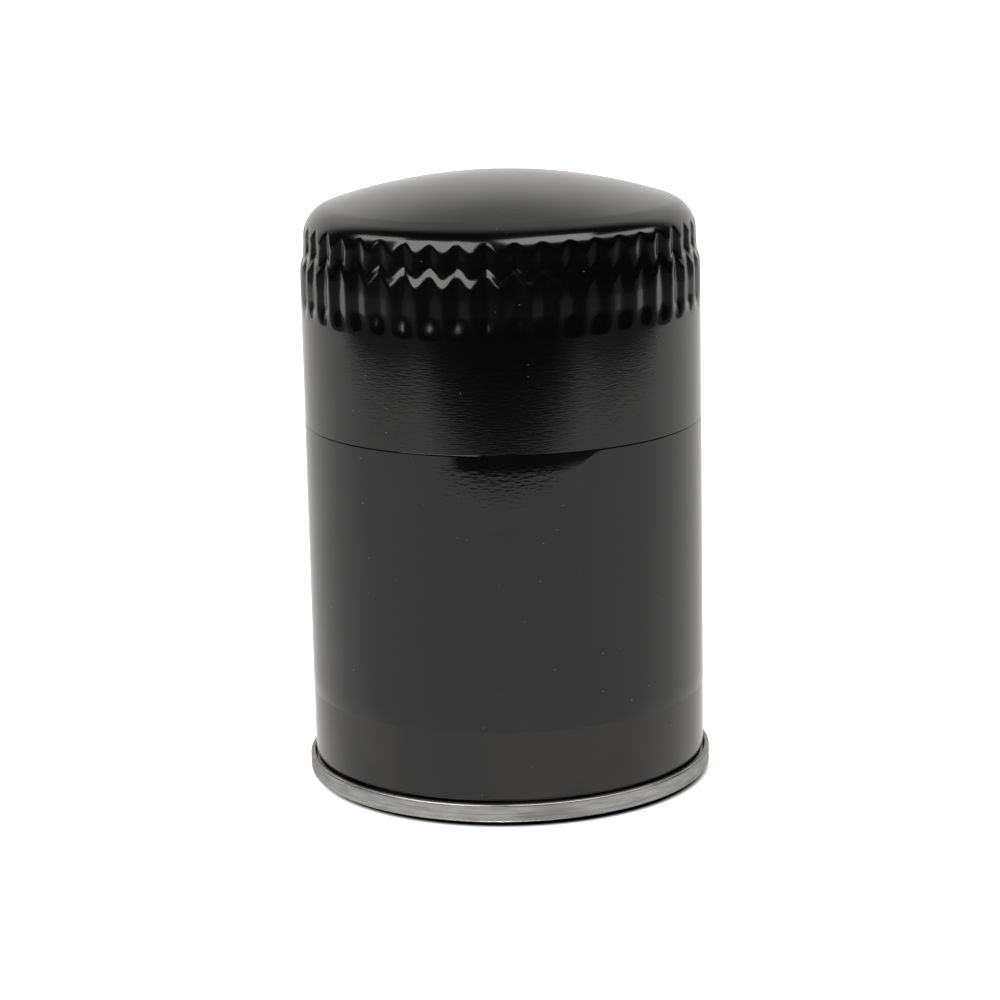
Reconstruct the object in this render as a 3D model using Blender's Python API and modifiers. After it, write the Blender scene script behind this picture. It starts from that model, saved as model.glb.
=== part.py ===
"""Spin-on oil filter, modelled as the separate pieces it is made of.

The filter stands on its gasket: the origin is the centre of the gasket's lower face and
+Z runs along the axis to the domed end. All values are in metres, heights above the origin.
"""

import math

import bmesh
import bpy

MM = 0.001
CLEARANCE = 0.3 * MM        # between pieces that rest on each other
MERGE_DISTANCE = 0.0001     # for modifiers that merge
SMOOTH_ANGLE = math.radians(35)

# Can: one sheet, with two bands of pressed flutes under the dome
CAN_RADIUS = 46.5 * MM
CAN_SHEET = 0.6 * MM
CAN_FLUTES = 45
CAN_COLUMNS = 2 * CAN_FLUTES
CAN_END_Z = 2.9 * MM
HEM_RADIUS = 47.2 * MM
HEM_TOP_Z = 4.6 * MM
LOWER_BAND_Z = (111.0 * MM, 116.0 * MM)     # where the flutes run out into the plain wall
BAND_STEP_Z = (123.2 * MM, 125.4 * MM)      # where the upper band steps in
UPPER_BAND_RADIUS = 45.5 * MM
FLUTE_TOP_Z = (129.0 * MM, 134.0 * MM)      # where the flutes run out into the knuckle
LOWER_FLUTE_DEPTH = 1.1 * MM
UPPER_FLUTE_DEPTH = 0.8 * MM
KNUCKLE_RADIUS = 7.65 * MM
CROWN_RADIUS = 128.4 * MM
APEX_Z = 143.0 * MM
CROWN_POINTS = 4
KNUCKLE_POINTS = 4

# Film round the wall
LABEL_Z = (22.0 * MM, 85.8 * MM)
LABEL_GAP = 0.08 * MM
LABEL_THICKNESS = 0.12 * MM

# Seaming lid and its double seam
LID_SHEET = 0.6 * MM
LID_FLOOR_Z = 6.2 * MM              # middle of the sheet over the gasket and the panel
LID_EDGE_Z = 3.2 * MM
GROOVE_INNER_RADIUS = 30.0 * MM     # middle of the sheet, as are the next five
GROOVE_OUTER_RADIUS = 37.1 * MM
RIDGE_RADIUS = 38.8 * MM
RIDGE_Z = 2.4 * MM
CHUCK_RADIUS = 45.3 * MM
SEAM_RADIUS = 47.8 * MM
SEAM_Z = (1.5 * MM, 5.3 * MM)
SEAM_CURL_RADIUS = 46.9 * MM
COMPOUND_Z = (2.1 * MM, 2.6 * MM)

# Gasket
GASKET_RADII = (31.0 * MM, 36.0 * MM)
GASKET_TOP_Z = 5.6 * MM

# Tapping plate, with a neck for the thread (3/4-16 UNF, left at its minor diameter)
PLATE_Z = (6.8 * MM, 10.3 * MM)
PLATE_RADIUS = 43.5 * MM
BORE_RADIUS = 8.75 * MM
BORE_CHAMFER = 0.9 * MM
NECK_RADIUS = 12.5 * MM
NECK_TOP_Z = 16.6 * MM
INLET_COUNT = 8
INLET_DIAMETER = 5.5 * MM
INLET_CIRCLE_RADIUS = 21.0 * MM

# Anti-drain membrane
HUB_RADII = (12.8 * MM, 14.6 * MM)
HUB_Z = (12.4 * MM, 16.9 * MM)
SKIRT_RADIUS = 26.5 * MM
SKIRT_THICKNESS = 1.0 * MM
LIP_Z = 10.6 * MM

# Element: two caps, potting, pleats and the centre tube
CAP_SHEET = 0.5 * MM
CAP_RADIUS = 41.3 * MM              # middle of the rim's sheet
CAP_RIM = 5.0 * MM
BOTTOM_CAP_Z = 17.45 * MM           # middle of the sheet
TOP_CAP_Z = 120.05 * MM
BOTTOM_CAP_HOLE = 13.3 * MM
TOP_CAP_HOLE = 15.65 * MM
POTTING_RADII = (18.4 * MM, 40.6 * MM)
POTTING_DEPTH = 2.0 * MM
TUBE_RADII = (17.5 * MM, 18.0 * MM)
TUBE_COLUMNS = 16
TUBE_WINDOW_ROWS = 7
PLEATS = 40
PLEAT_RADII = (20.4 * MM, 39.4 * MM)
PLEAT_FOLD_WIDTH = 1.1 * MM
PAPER_THICKNESS = 0.6 * MM
CLIP_RADII = (35.2 * MM, 40.3 * MM)
CLIP_WIDTH = 3.2 * MM
CLIP_SHEET = 0.4 * MM

# Relief valve in the upper cap
VALVE_SHEET = 0.6 * MM
VALVE_FLANGE_RADIUS = 18.2 * MM
CAGE_RADIUS = 15.0 * MM             # middle of the sheet
CAGE_FLOOR_Z = 104.0 * MM           # middle of the sheet
CAGE_FLANGE_Z = 120.9 * MM          # middle of the sheet
CAGE_GUIDE_RADIUS = 2.4 * MM
CAGE_WINDOWS = 4
CAGE_WINDOW_Z = (106.5 * MM, 116.5 * MM)
CAGE_WINDOW_WIDTH = 12.0 * MM
SEAT_FLANGE_Z = 121.8 * MM          # middle of the sheet
SEAT_CUP_RADIUS = 14.1 * MM         # middle of the sheet
SEAT_Z = 118.8 * MM                 # middle of the sheet
PORT_RADIUS = 8.0 * MM
SEAL_RADII = (6.5 * MM, 12.0 * MM)
SEAL_Z = (116.9 * MM, 118.2 * MM)
DISC_RADII = (2.3 * MM, 12.4 * MM)
DISC_Z = (115.4 * MM, 116.6 * MM)
STEM_RADIUS = 2.0 * MM
STEM_END_Z = 97.5 * MM
STEM_HEAD_RADIUS = 3.6 * MM
STEM_HEAD_Z = (116.9 * MM, 118.0 * MM)
BYPASS_WIRE = 1.2 * MM
BYPASS_COIL_RADIUS = 8.0 * MM
BYPASS_TURNS = 4.0
BYPASS_COIL_Z = (104.6 * MM, 115.1 * MM)

# Hold-down spring between the upper cap and the dome
ELEMENT_WIRE = 2.5 * MM
ELEMENT_COIL_RADII = (20.6 * MM, 17.0 * MM)
ELEMENT_TURNS = 3.25
ELEMENT_COIL_Z = (120.6 * MM, 140.7 * MM)

RING_COLUMNS = 40
SMALL_COLUMNS = 24
COIL_POINTS = 12            # on each turn of a spring


def clear_scene():
    """Remove every object of the open file."""
    for obj in list(bpy.data.objects):
        bpy.data.objects.remove(obj, do_unlink=True)


def new_collection(name):
    """Make a collection under the scene's own."""
    made = bpy.data.collections.new(name)
    bpy.context.scene.collection.children.link(made)
    return made


def paint(name, colour, roughness, metallic=0.0):
    """Make a Principled material of one colour."""
    made = bpy.data.materials.new(name)
    made.use_nodes = True
    shader = made.node_tree.nodes["Principled BSDF"]
    shader.inputs["Base Color"].default_value = (*colour, 1.0)
    shader.inputs["Roughness"].default_value = roughness
    shader.inputs["Metallic"].default_value = metallic
    return made


def add_object(name, data, material, collection, parent=None):
    """Put data in the scene as an object of the given name, parented where it belongs."""
    obj = bpy.data.objects.new(name, data)
    data.materials.append(material)
    collection.objects.link(obj)
    if parent is not None:
        obj.parent = parent
        obj.matrix_parent_inverse = parent.matrix_world.inverted()
    return obj


def arc(centre, radius, start, end, points):
    """Points on an arc of a profile, from one angle to another, in degrees."""
    made = []
    for index in range(points):
        angle = math.radians(start + (end - start) * index / (points - 1))
        made.append((centre[0] + radius * math.cos(angle),
                     centre[1] + radius * math.sin(angle)))
    return made


def profile_mesh(name, points, closed):
    """A mesh of edges only, in the XZ plane, for the Screw modifier."""
    mesh = bpy.data.meshes.new(name)
    vertices = [(radius, 0.0, height) for radius, height in points]
    edges = [(index, index + 1) for index in range(len(points) - 1)]
    if closed:
        edges.append((len(points) - 1, 0))
    mesh.from_pydata(vertices, edges, [])
    return mesh


def add_screw(obj, columns):
    """Turn a profile once round the Z axis."""
    screw = obj.modifiers.new("Turn", "SCREW")
    screw.steps = columns
    screw.render_steps = columns
    screw.use_merge_vertices = True
    screw.merge_threshold = MERGE_DISTANCE
    screw.use_smooth_shade = True
    return screw


def turned(name, outline, columns, material, collection, parent=None, closed=True):
    """A solid turned from an outline that runs down its outer side."""
    obj = add_object(name, profile_mesh(name, outline, closed), material, collection, parent)
    add_screw(obj, columns)
    return obj


def pressed(name, path, thickness, columns, material, collection, parent=None):
    """A sheet turned from the middle line of its section and given its thickness."""
    obj = add_object(name, profile_mesh(name, path, False), material, collection, parent)
    add_screw(obj, columns)
    shell = obj.modifiers.new("Sheet", "SOLIDIFY")
    shell.thickness = thickness
    shell.offset = 0.0
    shell.use_even_offset = True
    return obj


def ring_outline(radii, heights):
    """The square section of a ring, down the outside and up the inside."""
    inner, outer = radii
    low, high = heights
    return [(outer, high), (outer, low), (inner, low), (inner, high)]


def applied(obj):
    """Replace an object's mesh by its evaluated one, without modifiers."""
    graph = bpy.context.evaluated_depsgraph_get()
    mesh = bpy.data.meshes.new_from_object(obj.evaluated_get(graph))
    obj.modifiers.clear()
    obj.data = mesh
    return obj


def subtract(obj, cutters):
    """Cut each cutter out of the object."""
    for cutter in cutters:
        cut = obj.modifiers.new("Cut " + cutter.name, "BOOLEAN")
        cut.operation = "DIFFERENCE"
        cut.solver = "EXACT"
        cut.object = cutter


def as_cutter(obj):
    """Show an object as a guide only."""
    obj.hide_render = True
    obj.display_type = "WIRE"
    return obj


def smooth_step(low, high, value):
    """Rise from 0 to 1 between two values, with level ends."""
    share = min(max((value - low) / (high - low), 0.0), 1.0)
    return share * share * (3.0 - 2.0 * share)


# ---------------------------------------------------------------- can and what is seamed to it

def can_outline(inset):
    """The can's side of the sheet that lies inset from its outer face, apex to lower end."""
    crown_centre_z = APEX_Z - CROWN_RADIUS
    knuckle_r = UPPER_BAND_RADIUS - KNUCKLE_RADIUS
    reach = CROWN_RADIUS - KNUCKLE_RADIUS
    knuckle_z = crown_centre_z + math.sqrt(reach ** 2 - knuckle_r ** 2)
    tangent = 90.0 - math.degrees(math.asin(knuckle_r / reach))
    crown = arc((0.0, crown_centre_z), CROWN_RADIUS - inset, 90.0, tangent, CROWN_POINTS)
    crown[0] = (0.0, crown[0][1])
    knuckle = arc((knuckle_r, knuckle_z), KNUCKLE_RADIUS - inset, tangent, 0.0, KNUCKLE_POINTS)
    wall = [(UPPER_BAND_RADIUS - inset, BAND_STEP_Z[1]),
            (CAN_RADIUS - inset, BAND_STEP_Z[0]),
            (CAN_RADIUS - inset, LOWER_BAND_Z[1]),
            (CAN_RADIUS - inset, LOWER_BAND_Z[0])]
    return crown[:-1] + knuckle + wall


def flute_depth(height):
    """How deep the flutes are pressed at a height."""
    run_out = smooth_step(LOWER_BAND_Z[0], LOWER_BAND_Z[1], height)
    upper = smooth_step(BAND_STEP_Z[0], BAND_STEP_Z[1], height)
    knuckle = 1.0 - smooth_step(FLUTE_TOP_Z[0], FLUTE_TOP_Z[1], height)
    return run_out * knuckle * (LOWER_FLUTE_DEPTH * (1.0 - upper) + UPPER_FLUTE_DEPTH * upper)


def press_flutes(mesh):
    """Move the vertices of the two bands inwards, one valley for each flute."""
    for vertex in mesh.vertices:
        radius = math.hypot(vertex.co.x, vertex.co.y)
        depth = flute_depth(vertex.co.z)
        if radius == 0.0 or depth == 0.0:
            continue
        angle = math.atan2(vertex.co.y, vertex.co.x)
        valley = 0.5 - 0.5 * math.cos(CAN_FLUTES * angle)
        share = 1.0 - depth * valley / radius
        vertex.co.x *= share
        vertex.co.y *= share


def build_can(collection, material):
    """The drawn can, its open end hooked outwards into the seam."""
    hem = [(CAN_RADIUS, HEM_TOP_Z), (HEM_RADIUS, HEM_TOP_Z), (HEM_RADIUS, CAN_END_Z)]
    inner_end = [(CAN_RADIUS - CAN_SHEET, CAN_END_Z)]
    outline = can_outline(0.0) + hem + inner_end + can_outline(CAN_SHEET)[::-1]
    can = turned("can", outline, CAN_COLUMNS, material, collection, closed=False)
    press_flutes(applied(can).data)
    return can


def build_label(collection, material):
    """The film that is wrapped round the can's wall."""
    inner = CAN_RADIUS + LABEL_GAP
    outline = ring_outline((inner, inner + LABEL_THICKNESS), LABEL_Z)
    return turned("wrap_label", outline, CAN_COLUMNS, material, collection)


def build_lid(collection, material):
    """The thin lid: gasket groove, stiffening ridge, and the fold round the can's hem."""
    path = [(GROOVE_INNER_RADIUS, LID_EDGE_Z),
            (GROOVE_INNER_RADIUS, LID_FLOOR_Z),
            (GROOVE_OUTER_RADIUS, LID_FLOOR_Z),
            (GROOVE_OUTER_RADIUS, RIDGE_Z),
            (RIDGE_RADIUS, RIDGE_Z),
            (RIDGE_RADIUS, LID_FLOOR_Z),
            (CHUCK_RADIUS, LID_FLOOR_Z),
            (CHUCK_RADIUS, SEAM_Z[0]),
            (SEAM_RADIUS, SEAM_Z[0]),
            (SEAM_RADIUS, SEAM_Z[1]),
            (SEAM_CURL_RADIUS, SEAM_Z[1])]
    return pressed("seaming_lid", path[::-1], LID_SHEET, RING_COLUMNS, material, collection)


def build_compound(collection, material):
    """The sealing bead between the can's end and the fold of the lid."""
    outline = ring_outline((CAN_RADIUS - CAN_SHEET, HEM_RADIUS - 0.1 * MM), COMPOUND_Z)
    return turned("seam_compound", outline, RING_COLUMNS, material, collection)


def build_gasket(collection, material):
    """The square-cut rubber ring that stands proud of the lid."""
    outline = ring_outline(GASKET_RADII, (0.0, GASKET_TOP_Z))
    return turned("outer_gasket", outline, RING_COLUMNS, material, collection)


def build_tapping_plate(collection, cutters, material):
    """The thick plate: a neck for the thread and a ring of inlet holes."""
    low, high = PLATE_Z
    outline = [(NECK_RADIUS, NECK_TOP_Z),
               (NECK_RADIUS, high),
               (PLATE_RADIUS, high),
               (PLATE_RADIUS, low),
               (BORE_RADIUS + BORE_CHAMFER, low),
               (BORE_RADIUS, low + BORE_CHAMFER),
               (BORE_RADIUS, NECK_TOP_Z)]
    plate = turned("tapping_plate", outline, RING_COLUMNS, material, collection)
    holes = []
    for index in range(INLET_COUNT):
        angle = 2.0 * math.pi * (index / INLET_COUNT + 0.5 / RING_COLUMNS)
        bpy.ops.mesh.primitive_cylinder_add(
            vertices=12, radius=INLET_DIAMETER / 2.0, depth=3.0 * (high - low),
            location=(INLET_CIRCLE_RADIUS * math.cos(angle),
                      INLET_CIRCLE_RADIUS * math.sin(angle), (low + high) / 2.0))
        hole = bpy.context.object
        hole.name = f"inlet_cutter_{index + 1}"
        for home in list(hole.users_collection):
            home.objects.unlink(hole)
        cutters.objects.link(hole)
        holes.append(as_cutter(hole))
    subtract(plate, holes)
    return plate


def build_membrane(collection, material):
    """The rubber skirt that lies over the inlet holes, its hub on the neck."""
    inner, outer = HUB_RADII
    low, high = HUB_Z
    outline = [(outer, high),
               (outer, low + SKIRT_THICKNESS),
               (SKIRT_RADIUS, LIP_Z + SKIRT_THICKNESS),
               (SKIRT_RADIUS, LIP_Z),
               (SKIRT_RADIUS - 1.5 * MM, LIP_Z),
               (outer - 0.4 * MM, low),
               (inner, low),
               (inner, high)]
    return turned("anti_drain_membrane", outline, SMALL_COLUMNS, material, collection)


# ---------------------------------------------------------------- element

def build_cap(name, height, rim, hole, collection, parent, material):
    """A pressed end cap: a flat ring with its rim turned towards the pleats."""
    path = [(CAP_RADIUS, height + rim), (CAP_RADIUS, height), (hole, height)]
    return pressed(name, path, CAP_SHEET, RING_COLUMNS, material, collection, parent)


def build_tube(collection, parent, material):
    """The perforated centre tube: a sheet grid with every other cell punched out."""
    rows = 2 * TUBE_WINDOW_ROWS + 1
    low = BOTTOM_CAP_Z + CAP_SHEET / 2.0 + CLEARANCE
    high = TOP_CAP_Z - CAP_SHEET / 2.0 - CLEARANCE
    mesh = bpy.data.meshes.new("center_tube")
    grid = bmesh.new()
    bottom = bmesh.ops.create_circle(grid, segments=TUBE_COLUMNS, radius=TUBE_RADII[1])
    bmesh.ops.translate(grid, verts=bottom["verts"], vec=(0.0, 0.0, low))
    edges = list(grid.edges)
    punched = []
    for row in range(rows):
        made = bmesh.ops.extrude_edge_only(grid, edges=edges)["geom"]
        fresh = [item for item in made if isinstance(item, bmesh.types.BMVert)]
        bmesh.ops.translate(grid, verts=fresh, vec=(0.0, 0.0, (high - low) / rows))
        edges = [item for item in made
                 if isinstance(item, bmesh.types.BMEdge)
                 and item.verts[0] in fresh and item.verts[1] in fresh]
        if row % 2 == 1:
            faces = [item for item in made if isinstance(item, bmesh.types.BMFace)]
            faces.sort(key=lambda face: math.atan2(face.calc_center_median().y,
                                                   face.calc_center_median().x))
            punched += faces[::2]
    bmesh.ops.delete(grid, geom=punched, context="FACES_ONLY")
    bmesh.ops.recalc_face_normals(grid, faces=grid.faces)
    grid.to_mesh(mesh)
    grid.free()
    tube = add_object("center_tube", mesh, material, collection, parent)
    shell = tube.modifiers.new("Sheet", "SOLIDIFY")
    shell.thickness = TUBE_RADII[1] - TUBE_RADII[0]
    shell.offset = -1.0
    return tube


def pleat_path():
    """The paper's line seen from above: folds with flat tips, inside and outside in turn."""
    inner, outer = PLEAT_RADII
    points = []
    for pleat in range(PLEATS):
        for radius, turn in ((outer, 0.0), (inner, 0.5)):
            angle = 2.0 * math.pi * (pleat + turn) / PLEATS
            half = PLEAT_FOLD_WIDTH / 2.0 / radius
            for side in (-half, half):
                points.append((radius * math.cos(angle + side), radius * math.sin(angle + side)))
    return points


def build_media(collection, parent, material):
    """The pleated paper ring between the two layers of potting."""
    low, high = media_heights()
    mesh = bpy.data.meshes.new("pleated_media")
    sheet = bmesh.new()
    corners = [sheet.verts.new((x, y, low)) for x, y in pleat_path()]
    edges = [sheet.edges.new((corners[index - 1], corners[index]))
             for index in range(len(corners))]
    made = bmesh.ops.extrude_edge_only(sheet, edges=edges)["geom"]
    fresh = [item for item in made if isinstance(item, bmesh.types.BMVert)]
    bmesh.ops.translate(sheet, verts=fresh, vec=(0.0, 0.0, high - low))
    bmesh.ops.recalc_face_normals(sheet, faces=sheet.faces)
    sheet.to_mesh(mesh)
    sheet.free()
    media = add_object("pleated_media", mesh, material, collection, parent)
    shell = media.modifiers.new("Paper", "SOLIDIFY")
    shell.thickness = PAPER_THICKNESS
    shell.offset = 0.0
    shell.use_even_offset = True
    return media


def media_heights():
    """The lower and upper end of the paper."""
    low = BOTTOM_CAP_Z + CAP_SHEET / 2.0 + POTTING_DEPTH + 2.0 * CLEARANCE
    high = TOP_CAP_Z - CAP_SHEET / 2.0 - POTTING_DEPTH - 2.0 * CLEARANCE
    return low, high


def build_clip(collection, parent, material):
    """The folded strip that closes the paper ring, over the pleat at +X."""
    low, high = media_heights()
    inner, outer = CLIP_RADII
    half = CLIP_WIDTH / 2.0
    sheet_middle = CLIP_SHEET / 2.0
    mesh = bpy.data.meshes.new("media_seam_clip")
    strip = bmesh.new()
    line = [(inner, half - sheet_middle), (outer - sheet_middle, half - sheet_middle),
            (outer - sheet_middle, sheet_middle - half), (inner, sheet_middle - half)]
    corners = [strip.verts.new((x, y, low)) for x, y in line]
    edges = [strip.edges.new(pair) for pair in zip(corners, corners[1:])]
    made = bmesh.ops.extrude_edge_only(strip, edges=edges)["geom"]
    fresh = [item for item in made if isinstance(item, bmesh.types.BMVert)]
    bmesh.ops.translate(strip, verts=fresh, vec=(0.0, 0.0, high - low))
    strip.to_mesh(mesh)
    strip.free()
    clip = add_object("media_seam_clip", mesh, material, collection, parent)
    shell = clip.modifiers.new("Sheet", "SOLIDIFY")
    shell.thickness = CLIP_SHEET
    shell.offset = 0.0
    shell.use_even_offset = True
    return clip


def build_element(collection, parent, materials):
    """The filter element, in the order that it is stacked."""
    plated = materials["plated"]
    build_cap("bottom_end_cap", BOTTOM_CAP_Z, CAP_RIM, BOTTOM_CAP_HOLE, collection, parent, plated)
    build_cap("top_end_cap", TOP_CAP_Z, -CAP_RIM, TOP_CAP_HOLE, collection, parent, plated)
    floor = BOTTOM_CAP_Z + CAP_SHEET / 2.0 + CLEARANCE
    roof = TOP_CAP_Z - CAP_SHEET / 2.0 - CLEARANCE
    layers = {"bottom_potting": (floor, floor + POTTING_DEPTH),
              "top_potting": (roof - POTTING_DEPTH, roof)}
    for name, heights in layers.items():
        turned(name, ring_outline(POTTING_RADII, heights), RING_COLUMNS,
               materials["potting"], collection, parent)
    build_tube(collection, parent, plated)
    build_media(collection, parent, materials["paper"])
    build_clip(collection, parent, plated)


# ---------------------------------------------------------------- relief valve and springs

def coil(name, radii, heights, turns, wire, material, collection, parent=None):
    """A wire spring that rises from its first radius to its second."""
    count = int(turns * COIL_POINTS) + 1
    curve = bpy.data.curves.new(name, "CURVE")
    curve.dimensions = "3D"
    curve.bevel_depth = wire / 2.0
    curve.bevel_resolution = 2
    curve.use_fill_caps = True
    spline = curve.splines.new("POLY")
    spline.points.add(count - 1)
    low = heights[0] + wire / 2.0
    high = heights[1] - wire / 2.0
    for index, point in enumerate(spline.points):
        share = index / (count - 1)
        angle = 2.0 * math.pi * turns * share
        radius = radii[0] + (radii[1] - radii[0]) * share
        point.co = (radius * math.cos(angle), radius * math.sin(angle),
                    low + (high - low) * share, 1.0)
    return add_object(name, curve, material, collection, parent)


def build_cage(collection, cutters, parent, material):
    """The windowed cup under the seat, with a guide hole for the stem."""
    path = [(VALVE_FLANGE_RADIUS, CAGE_FLANGE_Z), (CAGE_RADIUS, CAGE_FLANGE_Z),
            (CAGE_RADIUS, CAGE_FLOOR_Z), (CAGE_GUIDE_RADIUS, CAGE_FLOOR_Z)]
    cage = pressed("bypass_cage", path, VALVE_SHEET, SMALL_COLUMNS, material, collection, parent)
    low, high = CAGE_WINDOW_Z
    windows = []
    for index in range(CAGE_WINDOWS // 2):
        bpy.ops.mesh.primitive_cube_add(size=1.0, location=(0.0, 0.0, (low + high) / 2.0))
        window = bpy.context.object
        window.name = f"window_cutter_{index + 1}"
        window.scale = (3.0 * CAGE_RADIUS, CAGE_WINDOW_WIDTH, high - low)
        window.rotation_euler = (0.0, 0.0, math.pi * index / (CAGE_WINDOWS // 2))
        for home in list(window.users_collection):
            home.objects.unlink(window)
        cutters.objects.link(window)
        windows.append(as_cutter(window))
    subtract(cage, windows)
    return cage


def build_seat(collection, parent, material):
    """The stamped plate with the relief port, its cup inside the cage."""
    path = [(VALVE_FLANGE_RADIUS, SEAT_FLANGE_Z), (SEAT_CUP_RADIUS, SEAT_FLANGE_Z),
            (SEAT_CUP_RADIUS, SEAT_Z), (PORT_RADIUS, SEAT_Z)]
    return pressed("bypass_seat", path, VALVE_SHEET, SMALL_COLUMNS, material, collection, parent)


def build_poppet(collection, parent, materials):
    """The three pieces that move together: disc, rubber ring and guide stem."""
    turned("bypass_disc", ring_outline(DISC_RADII, DISC_Z), SMALL_COLUMNS,
           materials["plated"], collection, parent)
    turned("bypass_seal", ring_outline(SEAL_RADII, SEAL_Z), SMALL_COLUMNS,
           materials["rubber"], collection, parent)
    stem = [(0.0, STEM_HEAD_Z[1]), (STEM_HEAD_RADIUS, STEM_HEAD_Z[1]),
            (STEM_HEAD_RADIUS, STEM_HEAD_Z[0]), (STEM_RADIUS, STEM_HEAD_Z[0]),
            (STEM_RADIUS, STEM_END_Z), (0.0, STEM_END_Z)]
    turned("bypass_stem", stem, SMALL_COLUMNS // 2, materials["plated"], collection, parent,
           closed=False)


def build_filter():
    """Build every piece in its place."""
    clear_scene()
    pieces = new_collection("oil_filter")
    cutters = new_collection("cutters")
    materials = {
        "paint": paint("Black paint", (0.012, 0.012, 0.013), 0.18),
        "film": paint("Satin film", (0.022, 0.022, 0.024), 0.42),
        "steel": paint("Bare steel", (0.56, 0.56, 0.55), 0.34, 1.0),
        "plated": paint("Plated steel", (0.62, 0.60, 0.55), 0.38, 1.0),
        "rubber": paint("Black rubber", (0.02, 0.02, 0.02), 0.62),
        "compound": paint("Seam compound", (0.30, 0.24, 0.10), 0.55),
        "potting": paint("Potting", (0.42, 0.07, 0.03), 0.45),
        "paper": paint("Filter paper", (0.66, 0.50, 0.22), 0.90),
        "spring": paint("Spring steel", (0.30, 0.30, 0.31), 0.30, 1.0),
    }
    element = bpy.data.objects.new("element_axis", None)
    poppet = bpy.data.objects.new("poppet_axis", None)
    pieces.objects.link(element)
    pieces.objects.link(poppet)
    poppet.parent = element

    build_can(pieces, materials["paint"])
    build_label(pieces, materials["film"])
    build_lid(pieces, materials["steel"])
    build_compound(pieces, materials["compound"])
    build_gasket(pieces, materials["rubber"])
    build_tapping_plate(pieces, cutters, materials["steel"])
    build_membrane(pieces, materials["rubber"])
    build_element(pieces, element, materials)
    build_seat(pieces, element, materials["plated"])
    build_cage(pieces, cutters, element, materials["plated"])
    build_poppet(pieces, poppet, materials)
    coil("bypass_spring", (BYPASS_COIL_RADIUS, BYPASS_COIL_RADIUS), BYPASS_COIL_Z,
         BYPASS_TURNS, BYPASS_WIRE, materials["spring"], pieces, element)
    coil("element_spring", ELEMENT_COIL_RADII, ELEMENT_COIL_Z, ELEMENT_TURNS,
         ELEMENT_WIRE, materials["spring"], pieces)

    for obj in pieces.objects:
        if obj.type == "MESH":
            obj.data.shade_smooth()
            obj.data.set_sharp_from_angle(angle=SMOOTH_ANGLE)


build_filter()
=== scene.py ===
"""Looks of the spin-on oil filter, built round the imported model."""

import math
import random

import bmesh
import bpy
import numpy as np
from mathutils import Matrix, Vector


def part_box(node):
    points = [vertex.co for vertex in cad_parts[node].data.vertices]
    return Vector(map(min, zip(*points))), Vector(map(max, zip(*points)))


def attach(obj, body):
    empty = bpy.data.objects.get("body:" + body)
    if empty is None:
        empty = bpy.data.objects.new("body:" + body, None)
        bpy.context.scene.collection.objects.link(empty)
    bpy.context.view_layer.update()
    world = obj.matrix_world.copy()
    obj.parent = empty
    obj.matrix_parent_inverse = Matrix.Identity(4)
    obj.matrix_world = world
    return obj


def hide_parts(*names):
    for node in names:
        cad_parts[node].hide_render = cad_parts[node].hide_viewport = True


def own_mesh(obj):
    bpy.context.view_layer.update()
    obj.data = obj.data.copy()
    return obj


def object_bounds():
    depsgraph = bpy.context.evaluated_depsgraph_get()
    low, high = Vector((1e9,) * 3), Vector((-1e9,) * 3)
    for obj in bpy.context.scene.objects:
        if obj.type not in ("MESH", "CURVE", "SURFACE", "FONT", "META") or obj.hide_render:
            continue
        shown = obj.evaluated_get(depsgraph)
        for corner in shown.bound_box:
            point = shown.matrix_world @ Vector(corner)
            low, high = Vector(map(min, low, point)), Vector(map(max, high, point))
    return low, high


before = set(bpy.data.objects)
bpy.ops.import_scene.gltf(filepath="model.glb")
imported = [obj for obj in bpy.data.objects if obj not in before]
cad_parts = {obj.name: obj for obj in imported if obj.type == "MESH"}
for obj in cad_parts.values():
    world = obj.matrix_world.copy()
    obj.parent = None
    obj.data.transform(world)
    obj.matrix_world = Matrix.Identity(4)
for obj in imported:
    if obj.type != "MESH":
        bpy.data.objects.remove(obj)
cad_low, cad_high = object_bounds()

MM = 0.001
TURN = 2.0 * math.pi
SMOOTH_DEGREES = 32.0                   # an edge that turns more than this stays sharp

# Columns of the turned meshes
FLUTES = 45
CAN_COLUMNS = 12 * FLUTES
WIDE_COLUMNS = 240
RING_COLUMNS = 160
SMALL_COLUMNS = 96
STEM_COLUMNS = 48
INLET_COLUMNS = 40

# Can
SHEET = 0.6 * MM
CROWN_RADIUS = 128.4 * MM
KNUCKLE_RADIUS = 7.65 * MM
FLUTE_ANGLE = math.radians(2.0)         # where one valley lies
FLANK = 0.93                            # 1 would give straight flanks and sharp crests
LOWER_DEPTH = 0.76 * MM
UPPER_DEPTH = 0.72 * MM
UPPER_BLEND = 0.25 * MM                 # how softly a groove meets the knuckle
LOWER_RUN_OUT = (111.2 * MM, 116.4 * MM)
STEP_CREST_Z = 123.6 * MM
STEP_VALLEY_RISE = 2.6 * MM
STEP_LENGTH = 2.2 * MM
STEP_SHARE = 0.45                       # of the drop; the rest is drawn in slowly
DRAWN_IN_Z = (119.5 * MM, 129.0 * MM)
NECK_Z = (5.0 * MM, 6.7 * MM)           # the wall draws in just over the seam
NECK_DEPTH = 0.35 * MM
CROWN_SHARE = 0.6                       # of the radius: the flutes stay outside it
CROWN_ROWS, KNUCKLE_ROWS, WALL_ROWS, NECK_ROWS = 26, 40, 8, 9
CLOSE_ROWS = 0.35 * MM                  # apart, from the knuckle down to the next height
CLOSE_ROWS_END = 109.5 * MM
PLAIN_WALL_TOP = 109.0 * MM
HEM_HEIGHT = 1.7 * MM

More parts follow.
